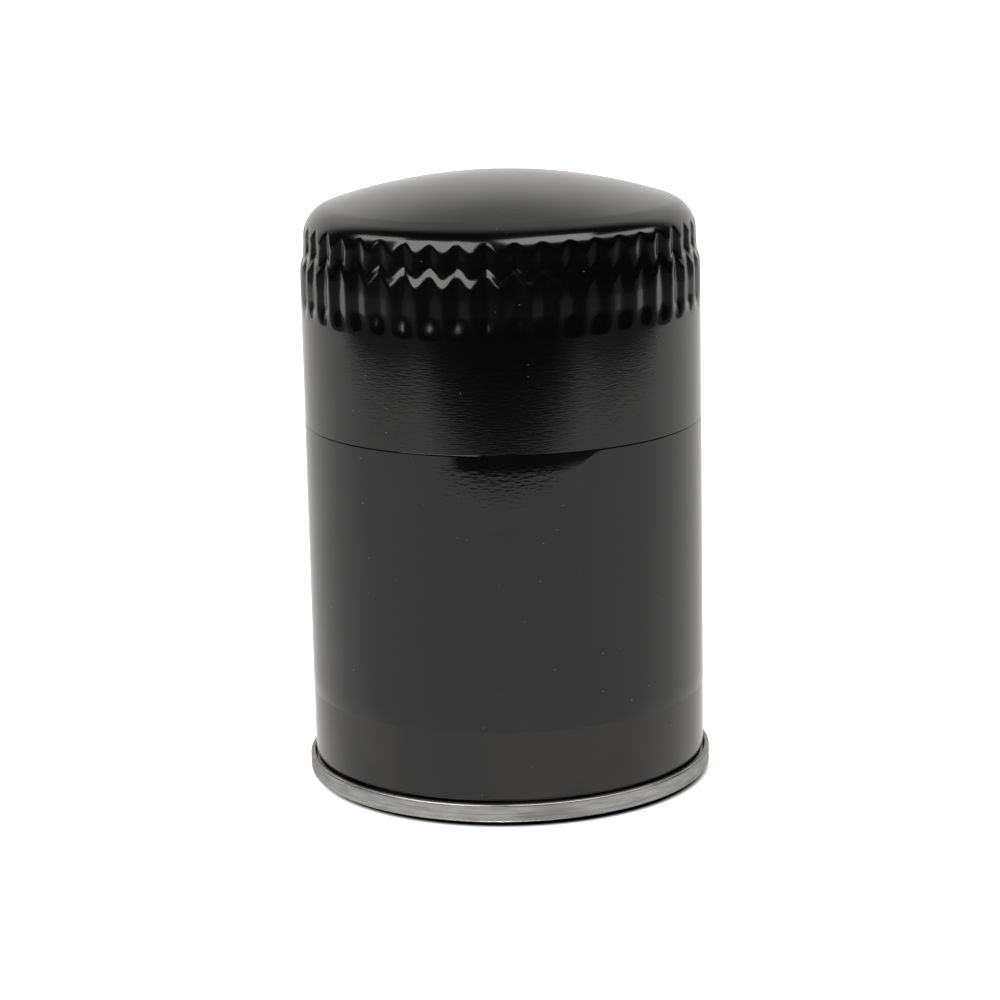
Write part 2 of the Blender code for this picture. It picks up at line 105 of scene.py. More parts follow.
# Film: its edges, and the air pocket under its upper edge
FILM_THICKNESS = 0.045 * MM
FILM_EDGE = 0.14 * MM
FILM_EDGE_SHARE = 0.1                   # of the thickness, at the very edge
FILM_GAP = 0.015 * MM
FILM_ROWS = 0.2 * MM                    # apart, over the pocket
FILM_ROWS_START = 0.4 * MM              # under the upper edge
FILM_PLAIN_END = 4.0 * MM               # over the lower edge
POCKET_LEFT = (math.radians(-17.0), math.radians(-8.5))
POCKET_RIGHT = math.radians(19.8)
POCKET_CORNER = math.radians(29.5)
POCKET_BOW = 0.7
POCKET_FADE = math.radians(1.2)
POCKET_TOP = 4.6 * MM                   # from the film's edge down to the pocket's crest
POCKET_LIFT = 0.17 * MM
POCKET_LENGTH = 13.0 * MM

# Lid
GROOVE_OUTER = 37.1 * MM
RIDGE = 38.8 * MM
RIDGE_Z = 2.4 * MM
CHUCK = 45.3 * MM
LID_EDGE_Z = 3.2 * MM
ROLLED_IN = 0.25 * MM                   # the seam is rolled a little tighter than the CAD's
HOOK_WIDTH = 0.7 * MM
LID_FOLD = 0.62 * MM
LID_ROWS = 0.6 * MM                     # the furthest apart
WELD_CIRCLE = 42.2 * MM
WELD_HEIGHT = 0.24 * MM
WELD_RADIUS = 1.3 * MM
WELDS = 8

# Gasket and membrane
GASKET_CORNER = 0.45 * MM
PARTING_HALF_WIDTH = 0.25 * MM
PARTING_DEPTH = 0.12 * MM
MEMBRANE = 1.8 * MM                     # wall of its hub, and rise of its skirt
MEMBRANE_RIB = ((17.9 * MM, 0.5 * MM), (18.4 * MM, 0.75 * MM), (18.9 * MM, 0.36 * MM))
MEMBRANE_CORNER = 0.25 * MM
LIP_WIDTH = 1.5 * MM
HUB_STEP = 0.4 * MM

# Tapping plate and its 3/4-16 UNF thread
PLATE_EDGE = 0.5 * MM
NECK_RADIUS = 12.5 * MM
INLET_CIRCLE = 21.0 * MM
INLET_RADIUS = 2.75 * MM
INLET_FLARE = 0.45 * MM
INLET_TURN = 0.0125
INLETS = 8
THREAD_PITCH = 25.4 * MM / 16.0
THREAD_DEPTH = 0.775 * MM
THREAD_CHAMFER = 0.9 * MM
THREAD_CREST = 0.25                     # of the pitch's half
THREAD_FLANK = 0.6                      # of the pitch's half
THREAD_ROWS = 12                        # in one pitch

# End caps and pleats
CAP_SHEET = 0.5 * MM
CAP_CORNER = 0.9 * MM
PLEATS = 40
PLEAT_SEED = 7
PLEAT_RADII = (20.4 * MM, 39.4 * MM)
PLEAT_SPREAD = 0.35                     # mm that a fold may fall short
PLEAT_CORNER = 0.5 * MM
PAPER = 0.6 * MM
FOLD = 1.1 * MM

# Relief valve
SEAT_CUP = 14.1 * MM
SEAT_CORNER = 0.7 * MM
CAGE_WALL = 15.0 * MM
CAGE_CORNER = 0.8 * MM
WINDOW_HALF_WIDTH = 6.0 * MM
WINDOW_Z = (106.5 * MM, 116.5 * MM)
WINDOW_CORNER = 1.2 * MM
WINDOW_REACH = 25.0 * MM                # from the axis, past the cage's wall
DISC_EDGE = 0.25 * MM
STEM_HEAD = 1.1 * MM
STEM_EDGE = 0.35 * MM

# Springs
CLOSED_TURNS = 0.55                     # at each end
CLOSED_RISE = 0.45                      # of the wire's thickness, over one closed end
EVEN_RISE = 0.75                        # of the climb; the rest has soft ends
ELEMENT_WIRE = 2.5 * MM
ELEMENT_COILS = (20.6 * MM, 17.0 * MM)
ELEMENT_TURNS = 3.25
VALVE_WIRE = 1.2 * MM
VALVE_COILS = (8.0 * MM, 8.0 * MM)
VALVE_TURNS = 4.0

# Paint and film, by height and across the front of the film
DUST_COLOUR = (0.20, 0.195, 0.19)
DUST_RADIUS = 0.13 * MM
DRAWN_LINES_Z = (0.1000, 0.1120)        # they fade out upwards
GRIME_Z = (0.022, 0.030)                # it fades out upwards
CROWN_Z = (0.1100, 0.1150)              # a little rougher above
WRINKLES_LEFT = (-0.020, -0.010)
WRINKLES_RIGHT = (0.009, 0.017)
WRINKLES_LOW = (0.068, 0.078)
WRINKLES_HIGH = (0.0815, 0.0845)

# Light and camera; the lit table's ranges are in metres, the room's in unit directions
LIT_FRONT, LIT_FRONT_BOW = (-0.475, -0.315), 0.15
LIT_SIDE, LIT_SIDE_SLOPE = (0.60, 0.73), 0.5
LIT_TAIL, LIT_TAIL_LEVELS = (-0.64, -0.40), (0.03, 0.15)
ROOM_FRONT, ROOM_FRONT_BOW = (-0.32, 0.25), 1.1
ROOM_LEVEL, ROOM_LEAST = 0.95, 0.02
GAP_LOW, GAP_HIGH = (0.42, 0.66), (0.72, 0.98)
GAP_ASIDE, GAP_LEVELS = (0.05, 0.36), (0.42, 0.12)
WING_ASIDE, WING_LEVEL, WING_LOW = (0.22, 0.50), 0.32, (0.40, 0.62)
TABLE_COLOUR = (1.0, 0.985, 0.97, 1.0)
LAMP_COLOUR = (1.0, 0.985, 0.965)
TABLE_GLOW = 0.95
# The painted contact shadow on the table: its centre's offset and the span of its fade.
SHADE_OFFSET = (0.6 * MM, 0.0, 0.0)     # the light comes more from the left
SHADE_RANGE = (-2.4 * MM, 0.7 * MM)     # from the seam's radius
LAMP_CENTRE = (0.0, 0.0, 0.13)
LAMP_DISTANCE = 1.1
UNDER_LAMP_DEPTH = 0.5
CAMERA_PLACE = (0.0, -0.6917, 0.2221)
CAMERA_PITCH, CAMERA_ROLL, CAMERA_YAW = 0.2230, -0.021, -0.0017
CAMERA_LENS = 107.86
CAMERA_SENSOR = 36.0


# ------------------------------------------------------------------ measures of the frame

def reach(name, low=-1.0, high=1.0, smallest=False):
    """The largest (or smallest) radius of a CAD node's points between two heights."""
    found = [math.hypot(vertex.co.x, vertex.co.y)
             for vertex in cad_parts[name].data.vertices
             if low <= vertex.co.z <= high]
    return min(found) if smallest else max(found)


def top_beyond(name, radius):
    """The highest point of a CAD node that lies further out than a radius."""
    return max(vertex.co.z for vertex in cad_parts[name].data.vertices
               if math.hypot(vertex.co.x, vertex.co.y) > radius)


def heights(name):
    """The lower and upper end of a CAD node."""
    low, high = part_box(name)
    return low.z, high.z


def radii(name):
    """The inner and outer radius of a CAD node."""
    return reach(name, smallest=True), reach(name)


CAN_Z = heights("can")
WALL = reach("can", 108.0 * MM, 112.0 * MM)
BAND = reach("can", CAN_Z[1] - 18.0 * MM, CAN_Z[1] - 15.0 * MM)


# ------------------------------------------------------------------ mesh tools

def rounded(corners, radius, steps=4, closed=True):
    """An outline with its corners rounded off."""
    made = []
    count = len(corners)
    for index, corner in enumerate(corners):
        here = Vector(corner)
        if not closed and index in (0, count - 1):
            made.append(tuple(here))
            continue
        before = Vector(corners[index - 1]) - here
        after = Vector(corners[(index + 1) % count]) - here
        half = before.angle(after) / 2.0
        back = min(radius / math.tan(half), 0.49 * before.length, 0.49 * after.length)
        for step in range(steps + 1):
            share = step / steps
            point = here + before.normalized() * back * (1.0 - share) ** 2
            made.append(tuple(point + after.normalized() * back * share ** 2))
    return made


def sheet(path, thickness, closed=False):
    """The two sides of a sheet, from the middle line of its section."""
    line = np.array(path, float)
    if closed:
        before = line - np.roll(line, 1, axis=0)
        after = np.roll(line, -1, axis=0) - line
    else:
        along = np.diff(line, axis=0)
        before = np.vstack([along[:1], along])
        after = np.vstack([along, along[-1:]])
    before /= np.linalg.norm(before, axis=1)[:, None]
    after /= np.linalg.norm(after, axis=1)[:, None]
    mean = before + after
    mean /= np.linalg.norm(mean, axis=1)[:, None]
    spread = thickness / 2.0 / np.clip((mean * before).sum(axis=1), 0.5, 1.0)
    side = np.stack([mean[:, 1], -mean[:, 0]], axis=1) * spread[:, None]
    return line + side, line - side


def pressed(path, thickness, radius):
    """The closed section of a pressed sheet with rounded folds."""
    first, second = sheet(rounded(path, radius, 6, closed=False), thickness)
    return [tuple(point) for point in np.vstack([first, second[::-1]])]


def ring(inner, outer, low, high, radius):
    """The section of a square ring with its edges rounded off."""
    return rounded([(outer, high), (outer, low), (inner, low), (inner, high)], radius)


def placed(name, data):
    """A new object in the scene."""
    made = bpy.data.objects.new(name, data)
    bpy.context.scene.collection.objects.link(made)
    return made


def finished(name, points, faces, smooth_degrees=SMOOTH_DEGREES):
    """A smoothed object from points and faces, its doubled points closed."""
    mesh = bpy.data.meshes.new(name)
    mesh.from_pydata(np.asarray(points, float).reshape(-1, 3).tolist(), [], faces)
    work = bmesh.new()
    work.from_mesh(mesh)
    bmesh.ops.remove_doubles(work, verts=work.verts, dist=1e-7)
    work.to_mesh(mesh)
    work.free()
    mesh.shade_smooth()
    mesh.set_sharp_from_angle(angle=math.radians(smooth_degrees))
    return placed(name, mesh)


def strip_faces(index):
    """Quads between neighbouring rows of a grid whose rows are closed rings."""
    right = np.roll(index, -1, axis=1)
    faces = np.stack([index[:-1], index[1:], right[1:], right[:-1]], axis=-1)
    return faces.reshape(-1, 4).tolist()


def lathe(name, outline, columns, closed=True, shape=None, smooth_degrees=SMOOTH_DEGREES):
    """Turn an outline round the axis; shape may move its rings, given angle, radius, height."""
    points = np.array(outline, float)
    area = np.sum(points[:, 0] * np.roll(points[:, 1], -1)
                  - np.roll(points[:, 0], -1) * points[:, 1])
    if area > 0.0:
        points = points[::-1]
    rows = len(points)
    angle = np.repeat(np.arange(columns)[None, :] * TURN / columns, rows, axis=0)
    radius = np.repeat(points[:, :1], columns, axis=1)
    height = np.repeat(points[:, 1:], columns, axis=1)
    if shape is not None:
        radius, height = shape(angle, radius, height)
    place = np.stack([radius * np.cos(angle), radius * np.sin(angle), height], axis=-1)
    index = np.arange(rows * columns).reshape(rows, columns)
    if closed:
        index = np.vstack([index, index[:1]])
    return finished(name, place, strip_faces(index), smooth_degrees)


def cut(piece, cutters):
    """Subtract closed cutters from a piece and remove them."""
    for cutter in cutters:
        change = piece.modifiers.new("Cut", "BOOLEAN")
        change.operation = "DIFFERENCE"
        change.solver = "EXACT"
        change.object = cutter
        bpy.context.view_layer.update()
        bpy.context.view_layer.objects.active = piece
        with bpy.context.temp_override(object=piece, active_object=piece):
            bpy.ops.object.modifier_apply(modifier=change.name)
        bpy.data.objects.remove(cutter, do_unlink=True)
    piece.data.shade_smooth()
    piece.data.set_sharp_from_angle(angle=math.radians(SMOOTH_DEGREES))
    return piece


def smooth_step(low, high, value):
    """Rise from 0 to 1 between two values, with level ends."""
    share = np.clip((value - low) / (high - low), 0.0, 1.0)
    return share * share * (3.0 - 2.0 * share)


def softly_least(first, second, width):
    """The smaller of two values, rounded off where they are nearly the same."""
    share = np.clip(0.5 + 0.5 * (second - first) / width, 0.0, 1.0)
    return second + (first - second) * share - width * share * (1.0 - share)


def wire(name, coils, levels, turns, thickness, sides=16, points=48):
    """A wound spring whose two end turns close up and lie flat."""
    share = np.linspace(0.0, 1.0, int(turns * points) + 1)
    dead = CLOSED_TURNS / turns
    rise = np.clip((share - dead) / (1.0 - 2.0 * dead), 0.0, 1.0)
    rise = EVEN_RISE * rise + (1.0 - EVEN_RISE) * smooth_step(0.0, 1.0, rise)
    closing = thickness * (np.minimum(share, dead) + np.maximum(share - 1.0 + dead, 0.0)) / dead
    low = levels[0] + thickness / 2.0
    high = levels[1] - thickness / 2.0
    climb = (low + CLOSED_RISE * closing
             + (high - low - 2.0 * CLOSED_RISE * thickness) * rise)
    radius = coils[0] + (coils[1] - coils[0]) * share
    angle = TURN * turns * share
    line = np.stack([radius * np.cos(angle), radius * np.sin(angle), climb], axis=1)
    along = np.gradient(line, axis=0)
    along /= np.linalg.norm(along, axis=1)[:, None]
    across = np.cross(along, (0.0, 0.0, 1.0))
    across /= np.linalg.norm(across, axis=1)[:, None]
    upward = np.cross(across, along)
    turn = np.arange(sides) * TURN / sides
    rings = (line[:, None, :]
             + thickness / 2.0 * (np.cos(turn)[None, :, None] * across[:, None, :]
                                  + np.sin(turn)[None, :, None] * upward[:, None, :]))
    rings[:, :, 2] = np.clip(rings[:, :, 2], levels[0], levels[1])
    index = np.arange(len(line) * sides).reshape(len(line), sides)
    caps = [index[0].tolist(), index[-1][::-1].tolist()]
    return finished(name, rings, strip_faces(index) + caps, 40.0)


# ------------------------------------------------------------------ material tools

def node(tree, kind, inputs=None, **settings):
    """Add a shader node; an input is a value or the socket that feeds it."""
    made = tree.nodes.new(kind)
    for key, value in settings.items():
        setattr(made, key, value)
    for key, value in (inputs or {}).items():
        if isinstance(value, bpy.types.NodeSocket):
            tree.links.new(value, made.inputs[key])
        else:
            made.inputs[key].default_value = value
    return made


def calc(tree, operation, first, second=0.0):
    """The result of one sum on two values or sockets."""
    return node(tree, "ShaderNodeMath", {0: first, 1: second}, operation=operation).outputs[0]


def ranged(tree, value, start, end, low=0.0, high=1.0):
    """A socket moved smoothly from one range to another, held at its ends."""
    return node(tree, "ShaderNodeMapRange", {0: value, 1: start, 2: end, 3: low, 4: high},
                interpolation_type="SMOOTHSTEP").outputs[0]


def new_material(name, roughness, metallic=0.0, ior=1.5):
    """A Principled material and the pieces that its nodes start from."""
    made = bpy.data.materials.new(name)
    made.use_nodes = True
    tree = made.node_tree
    shader = tree.nodes["Principled BSDF"]
    shader.inputs["Roughness"].default_value = roughness
    shader.inputs["Metallic"].default_value = metallic
    shader.inputs["IOR"].default_value = ior
    place = node(tree, "ShaderNodeTexCoord").outputs["Object"]
    return made, tree, shader, place


def noise(tree, place, scale, detail=2.0):
    """Noise with so many features per metre, in every direction or along x, y and z."""
    scale = scale if isinstance(scale, tuple) else (scale,) * 3
    stretched = node(tree, "ShaderNodeMapping", {"Vector": place, "Scale": scale})
    return node(tree, "ShaderNodeTexNoise",
                {"Vector": stretched.outputs[0], "Scale": 1.0, "Detail": detail}).outputs[0]


def mixed(tree, share, first, second):
    """A colour between two colours."""
    made = node(tree, "ShaderNodeMix", {0: share}, data_type="RGBA")
    for key, value in ((6, first), (7, second)):
        if isinstance(value, bpy.types.NodeSocket):
            tree.links.new(value, made.inputs[key])
        else:
            made.inputs[key].default_value = (*value, 1.0)
    return made.outputs[2]


def bumped(tree, shader, height, distance, below=None):
    """Feed a height to the shader's normal, over another bump if there is one."""
    inputs = {"Height": height, "Distance": distance, "Strength": 1.0}
    if below is not None:
        inputs["Normal"] = below
    made = node(tree, "ShaderNodeBump", inputs).outputs[0]
    tree.links.new(made, shader.inputs["Normal"])
    return made


def specks(tree, place, per_metre, radius, share):
    """Up to 1 on small round specks of several strengths, 0 elsewhere."""
    cells = node(tree, "ShaderNodeTexVoronoi", {"Vector": place, "Scale": per_metre})
    kinds = node(tree, "ShaderNodeSeparateColor", {0: cells.outputs["Color"]}).outputs
    near = calc(tree, "LESS_THAN", cells.outputs["Distance"], radius * per_metre)
    chosen = calc(tree, "LESS_THAN", kinds[0], share)
    strength = calc(tree, "POWER", kinds[1], 1.5)
    return calc(tree, "MULTIPLY", calc(tree, "MULTIPLY", near, chosen), strength)


def turned_lines(tree, place, along, across):
    """Noise drawn out into lines that run round the axis."""
    parts = node(tree, "ShaderNodeSeparateXYZ", {0: place}).outputs
    flat = node(tree, "ShaderNodeCombineXYZ", {0: parts[0], 1: parts[1]}).outputs[0]
    radius = node(tree, "ShaderNodeVectorMath", {0: flat}, operation="LENGTH").outputs["Value"]
    heading = node(tree, "ShaderNodeVectorMath", {0: flat}, operation="NORMALIZE").outputs[0]
    turned = node(tree, "ShaderNodeSeparateXYZ", {0: heading}).outputs
    lines = calc(tree, "MULTIPLY", calc(tree, "ADD", radius, parts[2]), across)
    vector = node(tree, "ShaderNodeCombineXYZ",
                  {0: calc(tree, "MULTIPLY", turned[0], along),
                   1: calc(tree, "MULTIPLY", turned[1], along), 2: lines}).outputs[0]
    return node(tree, "ShaderNodeTexNoise",
                {"Vector": vector, "Scale": 1.0, "Detail": 3.0}).outputs[0]


# ------------------------------------------------------------------ materials

def black_paint():
    """Gloss enamel: drawing lines in the wall, worn and dusty over the seam."""
    made, tree, shader, place = new_material("black_paint", 0.08, ior=1.51)
    height = node(tree, "ShaderNodeSeparateXYZ", {0: place}).outputs[2]
    wall = ranged(tree, height, *DRAWN_LINES_Z, 1.0, 0.25)
    lines = noise(tree, place, (480.0, 480.0, 3000.0))
    first = bumped(tree, shader, calc(tree, "MULTIPLY", lines, wall), 11e-6)
    peel = noise(tree, place, 420.0)
    bumped(tree, shader, peel, 2.5e-6, first)
    handled = noise(tree, place, (48.0, 48.0, 30.0), 1.0)
    grime = calc(tree, "MULTIPLY", ranged(tree, handled, 0.42, 0.56),
                 ranged(tree, height, *GRIME_Z, 1.0, 0.0))
    colour = mixed(tree, grime, (0.0010, 0.0010, 0.0011), (0.0085, 0.0078, 0.0066))
    dust = specks(tree, place, 290.0, DUST_RADIUS, 0.85)
    colour = mixed(tree, dust, colour, DUST_COLOUR)
    tree.links.new(colour, shader.inputs["Base Color"])
    worn = noise(tree, place, 60.0)
    rough = calc(tree, "ADD", ranged(tree, worn, 0.3, 0.7, 0.06, 0.10),
                 ranged(tree, height, *CROWN_Z, 0.0, 0.07))
    tree.links.new(rough, shader.inputs["Roughness"])
    return made


def satin_film():
    """Dark film: even over the wall, wrinkled over the air pocket, with dust on it."""
    made, tree, shader, place = new_material("satin_film", 0.08, ior=1.485)
    parts = node(tree, "ShaderNodeSeparateXYZ", {0: place}).outputs
    front = calc(tree, "LESS_THAN", parts[1], 0.0)
    beside = calc(tree, "MULTIPLY", ranged(tree, parts[0], *WRINKLES_LEFT),
                  ranged(tree, parts[0], *WRINKLES_RIGHT, 1.0, 0.0))
    level = calc(tree, "MULTIPLY", ranged(tree, parts[2], *WRINKLES_LOW),
                 ranged(tree, parts[2], *WRINKLES_HIGH, 1.0, 0.15))
    pocket = calc(tree, "MULTIPLY", calc(tree, "MULTIPLY", beside, level), front)
    waves = noise(tree, place, (620.0, 620.0, 1500.0), 1.0)
    fine = noise(tree, place, (300.0, 300.0, 2600.0))
    first = bumped(tree, shader, calc(tree, "MULTIPLY", waves, pocket), 36e-6)
    bumped(tree, shader, fine, 5e-6, first)
    smear = ranged(tree, noise(tree, place, (36.0, 36.0, 12.0)), 0.45, 0.72)
    base = mixed(tree, smear, (0.0018, 0.0018, 0.0021), (0.0038, 0.0036, 0.0036))
    dust = specks(tree, place, 270.0, DUST_RADIUS, 0.9)
    tree.links.new(mixed(tree, dust, base, DUST_COLOUR), shader.inputs["Base Color"])
    tree.links.new(ranged(tree, smear, 0.0, 1.0, 0.07, 0.12), shader.inputs["Roughness"])
    return made


def bare_steel(name, dark, light, roughness):
    """Rolled steel: fine lines round the axis, stains and a few pits."""
    made, tree, shader, place = new_material(name, roughness, 1.0)
    shader.inputs["Specular Tint"].default_value = (0.62, 0.61, 0.60, 1.0)
    lines = turned_lines(tree, place, 3.0, 2900.0)
    broad = turned_lines(tree, place, 9.0, 800.0)
    stain = noise(tree, place, (60.0, 60.0, 260.0), 3.0)
    pits = specks(tree, place, 420.0, 0.2 * MM, 0.12)
    share = calc(tree, "ADD", calc(tree, "MULTIPLY", lines, 0.65),
                 calc(tree, "MULTIPLY", broad, 0.45))
    colour = mixed(tree, ranged(tree, share, 0.36, 0.74), dark, light)
    colour = mixed(tree, ranged(tree, stain, 0.50, 0.72, 0.0, 0.5), colour,
                   tuple(0.62 * value for value in dark))
    colour = mixed(tree, pits, colour, (0.04, 0.036, 0.032))
    tree.links.new(colour, shader.inputs["Base Color"])
    rough = calc(tree, "ADD", ranged(tree, lines, 0.3, 0.7, -0.07, 0.09), roughness)
    tree.links.new(rough, shader.inputs["Roughness"])
    first = bumped(tree, shader, lines, 7e-6)
    bumped(tree, shader, broad, 20e-6, first)
    return made


def grained_steel(name, dark, light, roughness, grain, depth):
    """Steel with a fine grain and slow change of colour."""
    made, tree, shader, place = new_material(name, roughness, 1.0)
    fine = noise(tree, place, grain, 3.0)
    patch = noise(tree, place, 70.0)
    share = calc(tree, "ADD", calc(tree, "MULTIPLY", fine, 0.4),
                 calc(tree, "MULTIPLY", patch, 0.6))
    colour = mixed(tree, ranged(tree, share, 0.36, 0.64), dark, light)
    tree.links.new(colour, shader.inputs["Base Color"])
    tree.links.new(ranged(tree, fine, 0.3, 0.7, roughness - 0.09, roughness + 0.09),
                   shader.inputs["Roughness"])
    bumped(tree, shader, fine, depth)
    return made


def rubber(name, dark, light, roughness):
    """Moulded rubber: matt grain, faint turning lines and a light bloom."""
    made, tree, shader, place = new_material(name, roughness)
    grain = noise(tree, place, 2400.0, 3.0)
    lines = turned_lines(tree, place, 1.5, 4200.0)
    bloom = noise(tree, place, 120.0, 3.0)
    tree.links.new(mixed(tree, ranged(tree, bloom, 0.4, 0.72), dark, light),
                   shader.inputs["Base Color"])
    tree.links.new(ranged(tree, bloom, 0.3, 0.7, roughness - 0.08, roughness + 0.08),
                   shader.inputs["Roughness"])
    first = bumped(tree, shader, grain, 10e-6)
    bumped(tree, shader, lines, 9e-6, first)
    return made


def resin(name, dark, light, roughness):
    """Poured and cured resin with slow colour change and small bubbles."""
    made, tree, shader, place = new_material(name, roughness)
    cloud = noise(tree, place, 90.0, 3.0)
    bubbles = specks(tree, place, 420.0, 0.3 * MM, 0.3)
    tree.links.new(mixed(tree, ranged(tree, cloud, 0.35, 0.7), dark, light),
                   shader.inputs["Base Color"])
    tree.links.new(ranged(tree, cloud, 0.3, 0.7, roughness, roughness + 0.15),
                   shader.inputs["Roughness"])
    bumped(tree, shader, calc(tree, "SUBTRACT", cloud, bubbles), 60e-6)
    return made


def filter_paper():
    """Resin-cured paper: soft fibres, cross ribs and uneven curing."""
    made, tree, shader, place = new_material("filter_paper", 0.88)
    fibre = noise(tree, place, (1400.0, 1400.0, 900.0), 5.0)
    ribs = noise(tree, place, (30.0, 30.0, 420.0), 1.0)
    curing = noise(tree, place, 45.0)
    colour = mixed(tree, ranged(tree, curing, 0.35, 0.7), (0.62, 0.44, 0.17), (0.72, 0.57, 0.28))
    colour = mixed(tree, ranged(tree, fibre, 0.5, 0.8, 0.0, 0.4), colour, (0.42, 0.29, 0.10))
    tree.links.new(colour, shader.inputs["Base Color"])
    tree.links.new(ranged(tree, fibre, 0.3, 0.7, 0.8, 0.95), shader.inputs["Roughness"])
    first = bumped(tree, shader, fibre, 40e-6)
    bumped(tree, shader, ribs, 60e-6, first)
    return made


materials = {
    "black_paint": black_paint(),
    "satin_film": satin_film(),
    "bare_steel": bare_steel("bare_steel", (0.27, 0.265, 0.255), (0.45, 0.445, 0.43), 0.34),
    "plate_steel": bare_steel("plate_steel", (0.26, 0.26, 0.26), (0.42, 0.42, 0.41), 0.42),
    "plated_steel": grained_steel("plated_steel", (0.50, 0.47, 0.40), (0.62, 0.60, 0.55), 0.34,
                                  900.0, 4e-6),
    "spring_steel": grained_steel("spring_steel", (0.20, 0.19, 0.18), (0.36, 0.35, 0.34), 0.32,
                                  (500.0, 500.0, 2600.0), 3e-6),
    "black_rubber": rubber("black_rubber", (0.012, 0.012, 0.012), (0.030, 0.030, 0.031), 0.5),
    "membrane_rubber": rubber("membrane_rubber", (0.02, 0.02, 0.022), (0.05, 0.05, 0.052), 0.6),
    "seam_compound": resin("seam_compound", (0.30, 0.23, 0.09), (0.36, 0.29, 0.13), 0.5),
    "potting": resin("potting", (0.42, 0.07, 0.03), (0.50, 0.11, 0.05), 0.4),
    "filter_paper": filter_paper(),
}


def stand_for(piece, name, body, slot, material=None):
    """Show a piece in place of a CAD node, on the node's body."""
    piece.data.materials.clear()
    piece.data.materials.append(materials[material or slot])
    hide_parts(name)
    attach(piece, body)
    return piece


# ------------------------------------------------------------------ can, film, lid

def valley(angle):
    """1 in the middle of a groove, 0 on the crest beside it, with nearly straight flanks."""
    wave = np.cos(FLUTES * (angle - FLUTE_ANGLE))
    return 0.5 + 0.5 * np.arcsin(FLANK * wave) / math.asin(FLANK)


def can_rows(inset, step):
    """Section of the can's crests, from apex to lower end, at a depth inside its outer face."""
    centre_z = CAN_Z[1] - CROWN_RADIUS
    centre_r = BAND - KNUCKLE_RADIUS
    gap = CROWN_RADIUS - KNUCKLE_RADIUS
    knuckle_z = centre_z + math.sqrt(gap ** 2 - centre_r ** 2)
    tangent = math.asin(centre_r / gap)
    rows = []
    for turn in np.linspace(0.0, tangent, max(int(CROWN_ROWS / step), 5))[:-1]:
        rows.append(((CROWN_RADIUS - inset) * math.sin(turn),
                     centre_z + (CROWN_RADIUS - inset) * math.cos(turn)))
    for turn in np.linspace(tangent, math.pi / 2.0, max(int(KNUCKLE_ROWS / step), 6)):
        rows.append((centre_r + (KNUCKLE_RADIUS - inset) * math.sin(turn),
                     knuckle_z + (KNUCKLE_RADIUS - inset) * math.cos(turn)))
    wall = [*np.arange(knuckle_z, CLOSE_ROWS_END, -CLOSE_ROWS * step)[1:],
            *np.linspace(PLAIN_WALL_TOP, NECK_Z[1], WALL_ROWS),
            *np.linspace(*NECK_Z[::-1], NECK_ROWS)[1:]]
    return rows + [(BAND - inset, height) for height in wall]


def make_can():
    """The drawn can, outside and inside, with its hooked lower end."""
    hem = reach("can", CAN_Z[0] - MM, CAN_Z[0] + 0.5 * MM)

    def fluted(angle, radius, height, inset):
        dip = valley(angle)
        groove = BAND - inset + UPPER_BLEND - (UPPER_DEPTH + UPPER_BLEND) * dip
        upper = softly_least(radius, groove, UPPER_BLEND)
        depth = LOWER_DEPTH * dip * smooth_step(*LOWER_RUN_OUT, height)
        depth += NECK_DEPTH * (1.0 - smooth_step(*NECK_Z, height))
        wave = 0.5 + 0.5 * np.cos(FLUTES * (angle - FLUTE_ANGLE))
        middle = STEP_CREST_Z + STEP_VALLEY_RISE * wave
        share = (STEP_SHARE * smooth_step(-0.5, 0.5, (height - middle) / STEP_LENGTH)
                 + (1.0 - STEP_SHARE) * smooth_step(*DRAWN_IN_Z, height))
        lower = WALL - inset - depth
        return np.where(radius < CROWN_SHARE * BAND, radius, lower + (upper - lower) * share)

    outer = can_rows(0.0, 1.0)
    inner = can_rows(SHEET, 4.0)
    end = [(hem, CAN_Z[0] + HEM_HEIGHT), (hem, CAN_Z[0]), (WALL - SHEET, CAN_Z[0])]
    first, last = len(outer), len(outer) + len(end)

    def shape(angle, radius, height):
        radius = radius.copy()
        outside, inside = slice(0, first), slice(last, None)
        radius[outside] = fluted(angle[outside], radius[outside], height[outside], 0.0)
        radius[inside] = fluted(angle[inside], radius[inside], height[inside], SHEET)
        return radius, height

    piece = lathe("can_shell", outer + end + inner[::-1], CAN_COLUMNS, closed=False,
                  shape=shape, smooth_degrees=50.0)
    return stand_for(piece, "can", "root", "black_paint")


